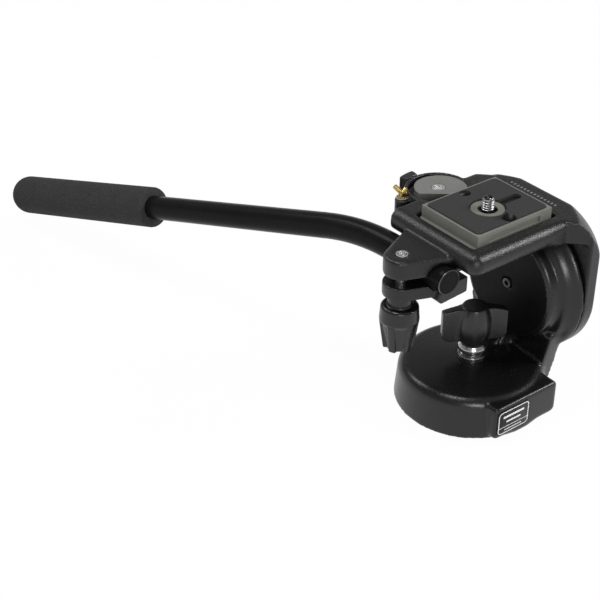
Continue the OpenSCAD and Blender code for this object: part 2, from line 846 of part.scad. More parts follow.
module tilt_axle() {
    color(steel) on_tilt_axis(drum_floor_x) difference() {
        union() {
            cylinder(d = axle_collar_d, h = axle_collar_t);
            cylinder(d = axle_d, h = side_out_x + washer_t - drum_floor_x);
            cylinder(d = stud_d, h = tilt_knob_x + stud_l - drum_floor_x);
        }
        translate([0, 0, -cut]) cylinder(d = axle_screw_d + 2 * fit, h = cut + axle_screw_l);
    }
}

module axle_screw() {
    color(chrome) on_tilt_axis(drum_face_x - axle_head_out) difference() {
        union() {
            cylinder(d = axle_head_d, h = axle_head_h);
            cylinder(d = axle_screw_d, h = drum_floor_x - drum_face_x + axle_head_out + axle_screw_l - gap);
        }
        translate([0, 0, -cut]) cylinder(d = axle_screw_d, h = cut + axle_head_h / 2, $fn = 6);
    }
}

module tilt_drag_ring() {
    color([0.85, 0.84, 0.78]) on_tilt_axis(drum_floor_x)
        ring(drum_pocket_d - 2 * fit, axle_collar_d + 2 * gap, tilt_drag_t);
}

module tilt_seal_ring() {
    color(rubber) on_tilt_axis(drum_x - seal_t) ring(seal_d, seal_d - 2 * seal_w, seal_t + film);
}

// Tilting head: bracket with its platform, tray, cam housing and clamp ear

module platform_plan() {
    left_w = platform_left + plate_x;
    depth = platform_left_back + platform_front;
    translate([(plate_x - platform_left) / 2, (platform_left_back - platform_front) / 2])
        round_rect(left_w, depth, left_corner_r);
    intersection() {
        circle(arc_r, $fn = 180);
        translate([-left_corner_r, -platform_front]) square([beyond, platform_back + platform_front]);
    }
    translate([cam_x, cam_y]) circle(cam_boss_r);
}

// Web that leads the platform's front into the side plate
module front_web() {
    start = side_x - front_web_w;
    end = side_x + side_t / 2;
    tip = -platform_front - front_web_w;
    back = rim_r - platform_front;
    polygon([[start, back], [start, -platform_front], [side_x, tip], [end, tip], [end, back]]);
}

// Space inside the rounding of the head's upper corners
module head_dome() {
    low = platform_top - dome_drop;
    rotate_extrude($fn = 180) {
        square([dome_reach, low]);
        square([dome_reach - dome_r, platform_top + cut]);
        intersection() {
            translate([dome_reach - dome_r, low]) circle(dome_r, $fn = 180);
            square(beyond);
        }
    }
}

// Platform and side plate seen along Y: a half round at the left, a rounded edge at the right
module head_profile() {
    translate([left_rim_r - platform_left, platform_top - left_rim_r]) circle(left_rim_r);
    translate([left_rim_r - platform_left, 0])
        square([side_out_x - side_edge_r + platform_left - left_rim_r, platform_top]);
    square([side_out_x, platform_top - side_edge_r]);
    translate([side_out_x - side_edge_r, platform_top - side_edge_r]) circle(side_edge_r);
}

// Quarter round along a rim, taken off the platform's top edge
module rim_cut(length) {
    rotate([90, 0, 0]) translate([0, 0, -length / 2]) linear_extrude(length) difference() {
        translate([-cut, -rim_r]) square([rim_r + cut, rim_r + cut]);
        translate([rim_r, -rim_r]) circle(rim_r, $fn = 48);
    }
}

// Side plate: a round lower half, and an upper half that rises to the platform
module side_plate() {
    on_tilt_axis(side_x) rotate_extrude($fn = 180) {
        square([side_r - side_corner_r, side_t]);
        square([side_r, side_t - side_corner_r]);
        translate([side_r - side_corner_r, side_t - side_corner_r]) circle(side_corner_r);
    }
    intersection() {
        translate([0, 0, tilt_z]) linear_extrude(platform_top - tilt_z)
            round_rect(2 * side_out_x, 2 * side_r, side_corner_r);
        translate([side_x, -beyond / 2, 0]) cube(beyond);
    }
}

module ear_plan() {
    back = touch([ear_root_x, ear_back], clamp_at, ear_r, -1);
    front = touch([ear_root_x, -ear_front], clamp_at, ear_r, 1);
    polygon([[ear_root_x, ear_back], back, clamp_at, front, [ear_root_x, -ear_front]]);
    translate(clamp_at) circle(ear_r);
}

// Room that the fixed drum needs under the platform
module drum_room() {
    for (step = [[drum_ring_d, drum_ring_w], [drum_face_d, drum_face_w]])
        on_tilt_axis(drum_x - step[1] - 2 * gap)
            cylinder(d = step[0] + 4 * gap, h = step[1] + 3 * gap, $fn = 120);
    intersection() {
        drum_flare(2 * gap);
        translate([-beyond, -beyond, -beyond]) cube([beyond + side_x, 2 * beyond, 3 * beyond]);
    }
}

// Room for the bar in the clamp
module bar_room() {
    translate([-bar_x, beyond / 2, bar_z]) rotate([90, 0, 0]) cylinder(d = bar_d + 2 * fit, h = beyond);
}

module tilt_bracket() {
    color(metal_black) difference() {
        union() {
            intersection() {
                union() {
                    difference() {
                        translate([0, 0, platform_z]) linear_extrude(platform_t) platform_plan();
                        translate([0, -platform_front, platform_top]) rotate(90) rim_cut(beyond);
                    }
                    intersection() {
                        union() {
                            side_plate();
                            translate([0, 0, platform_z]) linear_extrude(platform_t) front_web();
                        }
                        head_dome();
                    }
                }
                along_y(-beyond / 2, beyond / 2) head_profile();
            }
            translate([0, 0, jaw_top_z]) linear_extrude(ear_top - jaw_top_z) ear_plan();
            translate([ear_root_x - cut, -ear_front, jaw_top_z])
                cube([jaw_root_x - ear_root_x + cut, ear_front + ear_back,
                      platform_z + left_rim_r - jaw_top_z]);
            translate([catch_at[0], catch_at[1], platform_z])
                cylinder(d = catch_post_d, h = catch_post_top - platform_z);
        }
        drum_room();
        translate([plate_x, 0, tray_z]) linear_extrude(tray_depth + cut)
            round_rect(foot_w + 2 * tray_room, foot_d + gap, tray_r);
        translate([cam_x, cam_y, tray_z]) cylinder(r = cam_sweep_r, h = tray_depth + cut);
        translate([cam_x, cam_y, platform_z - cut]) cylinder(d = lever_shaft_d + 2 * fit, h = platform_t);
        translate([catch_at[0], catch_at[1], platform_z - cut])
            cylinder(d = catch_stem_d + 2 * fit, h = platform_t + 2 * cut);
        on_tilt_axis(side_x - cut) cylinder(d = tilt_bush_d + 2 * fit, h = side_t + 2 * cut);
        on_tilt_axis(side_x - cut) around(3, rotor_pin_at)
            cylinder(d = rotor_pin_d + 2 * fit, h = cut + rotor_pin_l / 2 + fit);
        bar_room();
        translate([clamp_at[0], clamp_at[1], jaw_top_z - cut])
            cylinder(d = clamp_insert_d + 2 * fit, h = ear_top - jaw_top_z + 2 * cut);
    }
}

module tilt_bush() {
    color(bronze) on_tilt_axis(side_x) ring(tilt_bush_d, axle_d + 2 * fit, side_t);
}

module tilt_rotor() {
    color(plate_grey) difference() {
        union() {
            on_tilt_axis(rotor_x) ring(drum_bowl_d - 2 * gap, axle_d + 2 * fit, rotor_t);
            on_tilt_axis(rotor_x) ring(rotor_hub_d, axle_d + 2 * fit, side_x - rotor_x);
        }
        on_tilt_axis(side_x - rotor_pin_l / 2 - fit) around(3, rotor_pin_at)
            cylinder(d = rotor_pin_d + 2 * fit, h = rotor_pin_l);
    }
}

module rotor_pins() {
    color(steel) on_tilt_axis(side_x - rotor_pin_l / 2) around(3, rotor_pin_at)
        cylinder(d = rotor_pin_d, h = rotor_pin_l);
}

module tilt_washer() {
    color(chrome) on_tilt_axis(side_out_x) ring(thrust_washer_d, axle_d + 2 * fit, washer_t);
}

// Quick-release plate

// Outline of the plate's end or side: a foot with a lip, a slope and an upright wall
module plate_side(top, foot) {
    half = [[foot / 2, 0], [foot / 2, foot_lip], [top / 2, slope_top], [top / 2, plate_h]];
    polygon(concat(half, [for (i = [len(half) - 1 : -1 : 0]) [-half[i][0], half[i][1]]]));
}

module pad_cutouts() {
    translate(camera_screw_at) circle(d = screw_ring_d);
    translate([plate_x, -screw_ring_d / 4]) square([pad_slot_l, pad_slot_w]);
    translate([plate_x + pad_slot_l, pad_slot_w / 2 - screw_ring_d / 4]) circle(d = pad_slot_w);
    translate(pin_at) circle(d = pin_collar_d + 2 * pin_hole_rim);
    translate([pin_at[0], -pin_at[1]]) circle(d = pin_collar_d);
}

module quick_plate() {
    color(plate_grey) difference() {
        intersection() {
            translate([plate_x, 0, tray_z]) linear_extrude(plate_h) round_rect(foot_w, foot_d, plate_r);
            translate([0, 0, tray_z]) across_x(-beyond / 2, beyond) plate_side(plate_d, foot_d);
            translate([plate_x, 0, tray_z]) along_y(-beyond / 2, beyond / 2) plate_side(plate_w, foot_w);
        }
        translate([plate_x, 0, plate_top - pad_seat]) linear_extrude(pad_seat + cut)
            round_rect(plate_w - 2 * pad_rim, plate_d - 2 * pad_rim, pad_r);
        for (side = [-1, 1]) translate([plate_x, side * plate_d / 2, tray_z + (band_low + band_high) / 2])
            cube([plate_w - 2 * band_post, 2 * band_depth, band_high - band_low], center = true);
        translate([camera_screw_at[0], camera_screw_at[1], tray_z - cut]) {
            cylinder(d = camera_screw_d + 2 * fit, h = plate_h + 2 * cut);
            cylinder(d = camera_head_d + 2 * gap, h = cut + camera_head_h + gap);
        }
        translate([camera_screw_at[0], camera_screw_at[1], plate_top - pad_seat - screw_recess_h])
            cylinder(d = screw_recess_d, h = screw_recess_h + cut);
        translate([pin_at[0], pin_at[1], tray_z - cut]) {
            cylinder(d = pin_d + 2 * fit, h = plate_h + 2 * cut);
            cylinder(d = pin_collar_d + 2 * fit, h = cut + pin_well_top - tray_z);
        }
    }
}

module plate_pad() {
    color(rubber) translate([0, 0, plate_top - pad_seat]) linear_extrude(pad_t) difference() {
        translate([plate_x, 0])
            round_rect(plate_w - 2 * (pad_rim + fit), plate_d - 2 * (pad_rim + fit), pad_r);
        pad_cutouts();
    }
}

module screw_ring() {
    color(plate_grey) translate([camera_screw_at[0], camera_screw_at[1], 0])
        ring(screw_ring_d - 2 * gap, screw_recess_d, screw_ring_t, plate_top - pad_seat);
}

module camera_screw() {
    color(chrome) translate([camera_screw_at[0], camera_screw_at[1], tray_z + film]) difference() {
        union() {
            cylinder(d = camera_head_d, h = camera_head_h);
            cylinder(d = camera_neck_d, h = screw_ring_top - tray_z);
            translate([0, 0, screw_ring_top - tray_z - film])
                cylinder(d = camera_screw_d, h = pad_top + camera_screw_l - screw_ring_top);
        }
        translate([-camera_head_d, -camera_slot_w / 2, -cut])
            cube([2 * camera_head_d, camera_slot_w, cut + camera_slot_h]);
    }
}

module anti_twist_pin() {
    color(plastic_black) translate([pin_at[0], pin_at[1], pin_collar_z]) {
        cylinder(d = pin_collar_d, h = pin_collar_t);
        cylinder(d = pin_d, h = pad_top + pin_l - pin_collar_z);
    }
}

module pin_spring() {
    low = tray_z + pin_plug_t;
    color(steel) translate([pin_at[0], pin_at[1], low])
        coil(pin_d / 2, pin_wire_d, pin_turns, pin_collar_z - low);
}

module pin_plug() {
    color(steel) translate([pin_at[0], pin_at[1], tray_z]) cylinder(d = pin_collar_d, h = pin_plug_t);
}

// Lock of the plate: cam, lever and safety catch

module cam_flat_cut(z, h) {
    rotate(flat_dir) translate([cam_flat, -cam_d, z]) cube([cam_d, 2 * cam_d, h]);
}

module cam_disc() {
    color([0.4, 0.4, 0.4]) translate([cam_x, cam_y, 0]) difference() {
        union() {
            translate([0, 0, cam_z]) cylinder(d = cam_d - 2 * cam_step, h = cam_top - cam_z);
            rotate(offset_dir) translate([cam_offset, 0, cam_top - cam_face_t])
                cylinder(d = cam_d, h = cam_face_t);
        }
        cam_flat_cut(cam_z - cut, cam_top - cam_z + 2 * cut);
        translate([0, 0, cam_top - cam_screw_head_h])
            cylinder(d = cam_screw_head_d + gap, h = cam_screw_head_h + cut);
        translate([0, 0, cam_z - cut]) cylinder(d = cam_screw_d + 2 * fit, h = cam_top);
    }
}

module cam_screw() {
    cross_l = cam_screw_head_d * 0.6;
    head_z = cam_top - cam_screw_head_h;
    color(chrome) translate([cam_x, cam_y, 0]) difference() {
        union() {
            translate([0, 0, head_z]) cylinder(d = cam_screw_head_d, h = cam_screw_head_h);
            translate([0, 0, cam_screw_z])
                cylinder(d = cam_screw_d, h = head_z + cam_screw_head_h / 2 - cam_screw_z);
        }
        for (turn = [0, 90]) rotate(turn) translate([-cross_l / 2, -cross_w / 2, cam_top - cross_h])
            cube([cross_l, cross_w, cross_h + cut]);
    }
}

// Wedge of a circle between two angles
module wedge(from, to) {
    polygon([[0, 0], [beyond * cos(from), beyond * sin(from)], [beyond * cos(to), beyond * sin(to)]]);
}

module lock_lever() {
    tab_out = tab_r + tab_d;
    color(plastic_black) translate([cam_x, cam_y, 0]) difference() {
        union() {
            translate([0, 0, lever_z]) cylinder(d = lever_hub_d, h = lever_t);
            translate([0, 0, lever_z]) cylinder(d = lever_shaft_d, h = cam_z - lever_z);
            translate([0, 0, lever_z]) linear_extrude(lever_t) intersection() {
                circle(tab_out);
                rotate(tab_dir) translate([0, -arm_w / 2]) square([beyond, arm_w]);
            }
            translate([0, 0, lever_z]) linear_extrude(tab_top - lever_z) intersection() {
                difference() {
                    circle(tab_out, $fn = 120);
                    circle(tab_r, $fn = 120);
                }
                wedge(tab_dir - tab_angle / 2, tab_dir + tab_angle / 2);
            }
        }
        translate([0, 0, lever_z + lever_floor])
            ring(2 * (lever_coil_r + lever_wire_d + coil_air), lever_shaft_d, lever_t);
        translate([0, 0, cam_screw_z - fit]) cylinder(d = cam_screw_d + 2 * fit, h = beyond);
    }
}

module lever_spring() {
    color(steel) translate([cam_x, cam_y, lever_z + lever_floor])
        coil(lever_coil_r, lever_wire_d, coil_turns, lever_t - lever_floor - coil_air);
}

module safety_catch() {
    color(brass) translate([catch_at[0], catch_at[1], 0]) {
        translate([0, 0, catch_foot_z + catch_foot_t / 2])
            cylinder(d = catch_stem_d, h = catch_post_top - catch_foot_z);
        translate([0, 0, catch_foot_z]) cylinder(d = catch_foot_d, h = catch_foot_t);
        translate([0, 0, catch_post_top + film]) cylinder(d = catch_hub_d, h = catch_hub_h);
        translate([0, 0, catch_post_top + film + catch_hub_h - catch_pin_d / 2])
            rotate([catch_pin_rise - 90, 0, 0]) cylinder(d = catch_pin_d, h = catch_pin_l);
        translate([0, 0, catch_post_top + film + catch_hub_h - catch_pin_d / 2])
            rotate([0, 90 - catch_arm_rise, 0]) cylinder(d = catch_pin_d, h = catch_arm_l);
    }
}

module catch_spring() {
    low = catch_foot_z + catch_foot_t;
    color(steel) translate([catch_at[0], catch_at[1], low])
        coil(catch_coil_r, catch_wire_d, coil_turns, platform_z - coil_air - low);
}

// Bar clamp

module clamp_insert() {
    color(chrome) translate([clamp_at[0], clamp_at[1], 0])
        ring(clamp_insert_d, clamp_screw_d + 2 * fit, clamp_insert_l, ear_top - clamp_insert_l);
}

module clamp_jaw() {
    color(metal_black) difference() {
        union() {
            translate([0, 0, jaw_z]) linear_extrude(jaw_t) ear_plan();
            translate([jaw_root_x - heel_w, clamp_y, jaw_low_z - cut])
                cube([heel_w, ear_back - clamp_y, jaw_slot - gap + cut]);
            along_y(-ear_front, ear_back)
                polygon([[jaw_block_x, jaw_low_z], [jaw_block_x - jaw_block_slope, jaw_z],
                         [jaw_block_x, jaw_block_z], [jaw_root_x, jaw_block_z + jaw_block_rise],
                         [jaw_root_x, jaw_low_z]]);
        }
        bar_room();
        translate([clamp_at[0], clamp_at[1], jaw_z - cut])
            cylinder(d = clamp_screw_d + gap, h = jaw_t + 2 * cut);
    }
}

module clamp_washer() {
    color(chrome) translate([clamp_at[0], clamp_at[1], 0])
        ring(clamp_washer_d, clamp_screw_d + gap, washer_t, jaw_z - washer_t);
}

module clamp_knob() {
    waist = clamp_knob_top - clamp_shoulder_h;
    rib_tip = clamp_knob_tip_d / 2 + clamp_rib_out;
    color(plastic_black) translate([clamp_at[0], clamp_at[1], 0]) difference() {
        union() {
            rotate_extrude()
                polygon([[0, clamp_knob_z], [clamp_knob_tip_d / 2, clamp_knob_z],
                         [clamp_knob_d / 2 - clamp_waist_in, waist],
                         [clamp_knob_d / 2, waist + clamp_waist_h],
                         [clamp_knob_d / 2 - clamp_top_in, clamp_knob_top - clamp_rim],
                         [clamp_knob_d / 2 - clamp_top_in - clamp_rim, clamp_knob_top],
                         [clamp_neck_d / 2, clamp_knob_top],
                         [clamp_neck_d / 2, clamp_knob_top + clamp_neck_l],
                         [0, clamp_knob_top + clamp_neck_l]]);
            intersection() {
                rotate_extrude()
                    polygon([[0, clamp_knob_z], [rib_tip, clamp_knob_z],
                             [clamp_knob_d / 2 - clamp_rib_sink, waist + clamp_waist_h / 2],
                             [0, waist + clamp_waist_h / 2]]);
                for (i = [0 : clamp_ribs - 1]) rotate(360 * i / clamp_ribs + clamp_rib_dir)
                    translate([0, -clamp_rib_w / 2, clamp_knob_z])
                    cube([clamp_knob_d, clamp_rib_w, clamp_knob_h]);
            }
        }
        translate([0, 0, clamp_screw_low - gap])
            cylinder(d = clamp_screw_d + 2 * fit, h = beyond);
    }
}

module clamp_screw() {
    color(steel) translate([clamp_at[0], clamp_at[1], clamp_screw_low])
        cylinder(d = clamp_screw_d, h = clamp_screw_high - clamp_screw_low);
}

// Pan bar

// Puts a shape at the far end of the bar's bend, pointing along +Z down the straight leg
module behind_bend() {
    translate([-bar_x, bend_y, bar_z]) rotate([0, bend_roll, 0])
        translate([0, bend_r * sin(bend_angle), -bend_r * (1 - cos(bend_angle))])
        rotate([-90 - bend_angle, 0, 0]) children();
}

// Rod that follows the bar: the leg in the clamp, the drawn bend and the straight leg
module bar_rod(d, front, back) {
    translate([-bar_x, bend_y, bar_z]) rotate([90, 0, 0]) cylinder(d = d, h = bend_y + front);
    translate([-bar_x, bend_y, bar_z]) rotate([0, bend_roll, 0]) translate([0, 0, -bend_r])
        rotate([0, -90, 0]) rotate_extrude(angle = bend_angle, $fn = 180)
            translate([bend_r, 0]) circle(d = d - bend_thinning);
    behind_bend() cylinder(d = d, h = back);
}

module pan_bar() {
    tail = bar_l - grip_d / 2;
    color(plastic_black) difference() {
        bar_rod(bar_d, bar_front, tail);
        bar_rod(bore_d, bar_front + cut, tail - bar_wall);
    }
}

module bar_end_plug() {
    color(plastic_black) translate([-bar_x, -bar_front, bar_z]) rotate([90, 0, 0]) {
        cylinder(d = plug_d, h = plug_t);
        translate([0, 0, -plug_l + gap]) cylinder(d = bore_d - 2 * fit, h = plug_l);
    }
}

module bar_grip() {
    color([0.2, 0.2, 0.2]) behind_bend() difference() {
        union() {
            translate([0, 0, bar_l - grip_l]) cylinder(d = grip_d, h = grip_l - grip_d / 2);
            translate([0, 0, bar_l - grip_d / 2]) sphere(d = grip_d);
        }
        cylinder(d = bar_d + 2 * fit, h = bar_l - grip_d / 2 + fit);
    }
}

mounting_disc();
tripod_insert();
pan_spindle();
spindle_screws();
base_housing();
label_plate();
pan_bearing_plate();
pan_bush();
pan_drag_ring();
bearing_screws();
pan_brake_pad();
pan_washer();
pan_lock_knob();
pan_lock_ferrule();
pan_lock_screw();
tilt_axle();
axle_screw();
tilt_drag_ring();
tilt_seal_ring();
tilt_lock_knob();
tilt_lock_ferrule();
tilt_bracket();
tilt_bush();
tilt_rotor();
rotor_pins();
tilt_washer();
quick_plate();
plate_pad();
screw_ring();
camera_screw();
anti_twist_pin();
pin_spring();
pin_plug();
cam_disc();
cam_screw();
lock_lever();
lever_spring();
safety_catch();
catch_spring();
clamp_insert();
clamp_jaw();
clamp_washer();
clamp_knob();
clamp_screw();
pan_bar();
bar_end_plug();
bar_grip();
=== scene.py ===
import json
import math

import bpy
from mathutils import Matrix, Vector


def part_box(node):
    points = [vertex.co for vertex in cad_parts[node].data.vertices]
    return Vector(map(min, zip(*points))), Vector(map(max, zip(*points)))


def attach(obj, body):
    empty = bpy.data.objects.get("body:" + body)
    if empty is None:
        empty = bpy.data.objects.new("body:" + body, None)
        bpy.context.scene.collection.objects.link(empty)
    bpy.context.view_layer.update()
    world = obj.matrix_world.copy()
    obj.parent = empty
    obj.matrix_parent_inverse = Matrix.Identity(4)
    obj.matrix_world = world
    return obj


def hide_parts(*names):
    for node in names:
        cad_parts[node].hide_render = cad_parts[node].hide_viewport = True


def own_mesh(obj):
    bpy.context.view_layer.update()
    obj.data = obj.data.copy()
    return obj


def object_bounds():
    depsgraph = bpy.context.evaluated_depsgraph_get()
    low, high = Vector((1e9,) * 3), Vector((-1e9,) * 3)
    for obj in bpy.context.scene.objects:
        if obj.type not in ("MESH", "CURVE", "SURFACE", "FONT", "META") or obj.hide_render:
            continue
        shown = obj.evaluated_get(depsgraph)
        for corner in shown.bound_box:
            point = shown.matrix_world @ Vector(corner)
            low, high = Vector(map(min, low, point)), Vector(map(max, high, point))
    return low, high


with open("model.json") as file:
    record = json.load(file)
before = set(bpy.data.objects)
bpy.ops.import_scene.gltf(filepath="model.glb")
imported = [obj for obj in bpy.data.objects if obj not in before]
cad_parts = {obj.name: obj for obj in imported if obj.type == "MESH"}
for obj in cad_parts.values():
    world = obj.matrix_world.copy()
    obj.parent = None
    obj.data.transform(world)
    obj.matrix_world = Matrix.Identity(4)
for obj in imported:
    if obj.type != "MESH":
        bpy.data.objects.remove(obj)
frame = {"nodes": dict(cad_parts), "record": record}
cad_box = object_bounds()

# Camera
# A long lens looks down on the label's corner of the head from the front left,
# so that the bar and its grip point away to the left of the picture.
picture_px = 600
focal_px = 1351.4
film_width = 36
camera_at = (-0.424, -0.418, 0.4389)
view_down = 32.755
view_turn = -36.6
view_roll = -0.177
lens = bpy.data.cameras.new("camera")
lens.sensor_width = film_width
lens.lens = focal_px / picture_px * film_width
camera = bpy.data.objects.new("camera", lens)
camera.location = camera_at
turned = Matrix.Rotation(math.radians(view_turn), 4, "Z")
turned = turned @ Matrix.Rotation(math.radians(90 - view_down), 4, "X")
camera.rotation_euler = (turned @ Matrix.Rotation(math.radians(view_roll), 4, "Z")).to_euler()
bpy.context.scene.collection.objects.link(camera)
bpy.context.scene.camera = camera
bpy.context.scene.view_settings.view_transform = "Standard"


# Studio
# A wide pale floor under an even grey sky, with four soft lamps. Seen straight on
# or in a reflection, the floor and the sky's edge are white, and the floor keeps some shadow.
class Value:
    """One output of a shader node, on which maths adds Math nodes."""

    def __init__(self, tree, socket):
        self.tree = tree
        self.socket = socket

    def maths(self, operation, *others):
        return self.tree.node("Math", {"operation": operation}, dict(enumerate((self,) + others)))

    def __add__(self, other):
        return self.maths("ADD", other)

    def __sub__(self, other):
        return self.maths("SUBTRACT", other)

    def __rsub__(self, other):
        return (self * -1) + other

    def __mul__(self, other):
        return self.maths("MULTIPLY", other)

    def __gt__(self, other):
        return self.maths("GREATER_THAN", other)

    def __lt__(self, other):
        return self.maths("LESS_THAN", other)

    def __abs__(self):
        return self.maths("ABSOLUTE")

    __radd__ = __add__
    __rmul__ = __mul__


class Tree:
    """The shader nodes of a material or of the world."""

    def __init__(self, owner):
        owner.use_nodes = True
        self.made = owner.node_tree
        self.made.nodes.clear()

    def node(self, kind, settings=None, values=None, out=0):
        """Adds a node with its settings and the values or links of its sockets, and gives one output."""
        made = self.made.nodes.new("ShaderNode" + kind)
        for name, setting in (settings or {}).items():
            setattr(made, name, setting)
        for name, value in (values or {}).items():
            if isinstance(value, Value):
                self.made.links.new(value.socket, made.inputs[name])
            else:
                made.inputs[name].default_value = value
        return Value(self, made.outputs[out] if len(made.outputs) else None)

    def ramp(self, value, start, end, low=0, high=1):
        """Leads a value from low to high while it goes from start to end."""
        return self.node("MapRange", {}, {0: value, 1: start, 2: end, 3: low, 4: high})

    def seen(self):
        """1 where the eye looks, straight on or through a reflection, and 0 for other light."""
        seen = 0
        for ray in ("Is Camera Ray", "Is Glossy Ray", "Is Transmission Ray"):
            seen = self.node("LightPath", out=ray) + seen
        return seen.maths("MINIMUM", 1)


white = (1, 1, 1, 1)
sky_light = 0.33
pale_to = 0.06
grey_from = 0.2
sky_world = bpy.data.worlds.new("studio")
bpy.context.scene.world = sky_world
sky = Tree(sky_world)
heading = sky.node("SeparateXYZ", {}, {0: sky.node("TexCoord", out="Generated")}, "Z")
pale = sky.ramp(heading, pale_to, grey_from, low=1 - sky_light, high=0)
sky_colour = sky.node("Background", {}, {"Color": white, "Strength": pale * sky.seen() + sky_light})
sky.node("OutputWorld", {}, {"Surface": sky_colour})

floor_size = 120
floor_shade = (0.82, 0.82, 0.82, 1)
floor_white = 0.97
bpy.ops.mesh.primitive_plane_add(size=floor_size, location=(0, 0, cad_box[0].z))
floor = bpy.context.object
floor.name = "floor"
floor_paint = bpy.data.materials.new("floor")
floor_tree = Tree(floor_paint)
floor_surface = floor_tree.node("MixShader", {}, {
    0: floor_tree.seen() * floor_white,
    1: floor_tree.node("BsdfDiffuse", {}, {"Color": floor_shade}),
    2: floor_tree.node("Emission", {}, {"Color": white, "Strength": 1}),
})
floor_tree.node("OutputMaterial", {}, {"Surface": floor_surface})
floor.data.materials.append(floor_paint)

aim = Vector((0, 0.05, 0.06))
for name, place, size, power in (
    ("lamp_front", (-0.6, -0.95, 0.55), 0.3, 5),
    ("lamp_right", (0.95, -0.65, 0.85), 0.4, 12),
    ("lamp_top", (-0.32, 0.1, 1.2), 0.3, 5),
    ("lamp_back", (-0.28, 0.85, 0.95), 0.4, 3.5),
):
    light = bpy.data.lights.new(name, "AREA")
    light.size = size
    light.energy = power
    lamp = bpy.data.objects.new(name, light)
    lamp.location = place
    lamp.rotation_euler = (aim - Vector(place)).to_track_quat("-Z", "Y").to_euler()
    bpy.context.scene.collection.objects.link(lamp)


# Base housing
# The round base, its upright and the tilt drum are one aluminium casting with soft edges,
# powder coated black with a fine crinkle. The drum's flat inner face gets a smooth, darker
# and duller black as painted shade. It turns on the mounting disc.
mm = 0.001
merge_gap = 0.001 * mm
cloud_span = (0.3, 0.7)
solids = frame["nodes"]
slot_of = {part["node"]: part["material_slot"] for part in frame["record"]["subparts"]}
body_of = {node: body for body, held in frame["record"]["behaviour"]["bodies"].items() for node in held}


class Finish(Tree):
    """A painted, plated or moulded surface, with its grain in real sizes."""

    def __init__(self, name):
        self.material = bpy.data.materials.new(name)
        super().__init__(self.material)
        self.place = self.node("TexCoord", out="Object")

    def clouds(self, size, detail=2):
        """Soft lumps of a size, between 0 and 1."""
        return self.node("TexNoise", {}, {"Vector": self.place, "Scale": 1 / size, "Detail": detail})

    def cells(self, size):
        """Grains of a size: the distance from their middles."""
        return self.node("TexVoronoi", {}, {"Vector": self.place, "Scale": 1 / size})

    def mix(self, share, first, second):
        """Colour between two colours."""
        return self.node("Mix", {"data_type": "RGBA"}, {0: share, 6: first, 7: second}, 2)

    def tone(self, size, first, second, detail=2):
        """Colour that drifts between two colours over lumps of a size."""
        return self.mix(self.clouds(size, detail), first, second)

    def varied(self, size, low, high):
        """Number that drifts between two numbers over lumps of a size."""
        return self.ramp(self.clouds(size), *cloud_span, low, high)

    def axes(self):
        """The three coordinates of each point."""
        split = self.node("SeparateXYZ", {}, {0: self.place})
        return [Value(self, out) for out in split.socket.node.outputs]

    def surface(self, colour, roughness, height, depth, gloss=0.5, metal=0):
        """Ends the finish: colour, roughness, a relief of a depth, and plain gloss and metal values."""
        bump = self.node("Bump", {}, {"Height": height, "Distance": depth})
        shader = self.node("BsdfPrincipled", {}, {
            "Base Color": colour, "Roughness": roughness, "Normal": bump,
            "Specular IOR Level": gloss, "Metallic": metal,
        })
        self.node("OutputMaterial", {}, {"Surface": shader})
        return self.material


def grey(level):
    """A plain grey of a brightness."""
    return (level, level, level, 1)


def crinkle_paint(name, grain, depth, rough, marks=None):
    """Black powder coat on a casting, with an even crinkle, printed marks, painted shade that darkens the
    crinkle's hollows, and painted glints as light dots.
    """
    lump_light_share = 0.5
    glint_r = 0.06
    glints_from = 0.55
    glint_share = 0.4
    rough_drift = 0.04
    paint = Finish(name)
    lumps = paint.ramp(paint.clouds(grain, detail=3), start=0.35, end=0.65)
    # Painted glints: sparse light dots in the colour stand in for the crinkle sparkling under the lamps.
    painted_glints = (paint.cells(9 * grain) < glint_r) * (paint.clouds(40 * grain) > glints_from)
    colour = paint.tone(size=30 * mm, first=grey(0.003), second=grey(0.005))
    # Painted shade: the crinkle's raised lumps are lighter and its hollows darker.
    colour = paint.mix(lumps * lump_light_share, colour, grey(0.007))
    colour = paint.mix(painted_glints * glint_share, colour, grey(0.12))
    if marks:
        colour = paint.mix(marks(paint), colour, grey(0.2))
    roughness = paint.varied(3 * grain, rough - rough_drift, rough + rough_drift)
    return paint.surface(colour, roughness, lumps, depth, gloss=0.45)


def copy_of(node, name):
    """A copy of a solid's mesh in its place, with its loose triangles merged, ready to be worked on."""
    bpy.ops.object.select_all(action="DESELECT")
    piece = bpy.data.objects.new(name, solids[node].data.copy())
    bpy.context.scene.collection.objects.link(piece)
    bpy.context.view_layer.objects.active = piece
    piece.select_set(True)
    bpy.ops.mesh.customdata_custom_splitnormals_clear()
    bpy.ops.object.mode_set(mode="EDIT")
    bpy.ops.mesh.select_all(action="SELECT")
    bpy.ops.mesh.remove_doubles(threshold=merge_gap)
    bpy.ops.object.mode_set(mode="OBJECT")
    return piece


def work(piece, kind, **settings):
    """Adds a modifier to a piece and applies it."""
    modifier = piece.modifiers.new(kind, kind)
    for name, setting in settings.items():
        setattr(modifier, name, setting)
    bpy.context.view_layer.objects.active = piece
    bpy.ops.object.modifier_apply(modifier=modifier.name)


def stand_for(piece, node, finish):
    """Gives a piece its finish, and puts it in the place of a solid."""
    piece.data.materials.clear()
    piece.data.materials.append(finish)
    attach(piece, body_of[node])
    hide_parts(node)


def casting(node, name, finish, voxel, rounds):
    """A solid as it comes out of the mould: its edges and corners are soft all round."""
    piece = copy_of(node, name)
    work(piece, "REMESH", mode="VOXEL", voxel_size=voxel)
    work(piece, "SMOOTH", factor=0.5, iterations=rounds)
    bpy.ops.object.shade_smooth()
    stand_for(piece, node, finish)
    return piece


def soften(piece, rounds, choose):
    """Rounds off the part of a casting whose points a rule accepts."""
    part = piece.vertex_groups.new(name="part")
    part.add([corner.index for corner in piece.data.vertices if choose(corner.co)], 1, "REPLACE")
    work(piece, "SMOOTH", factor=0.5, iterations=rounds, vertex_group="part")
    piece.vertex_groups.clear()


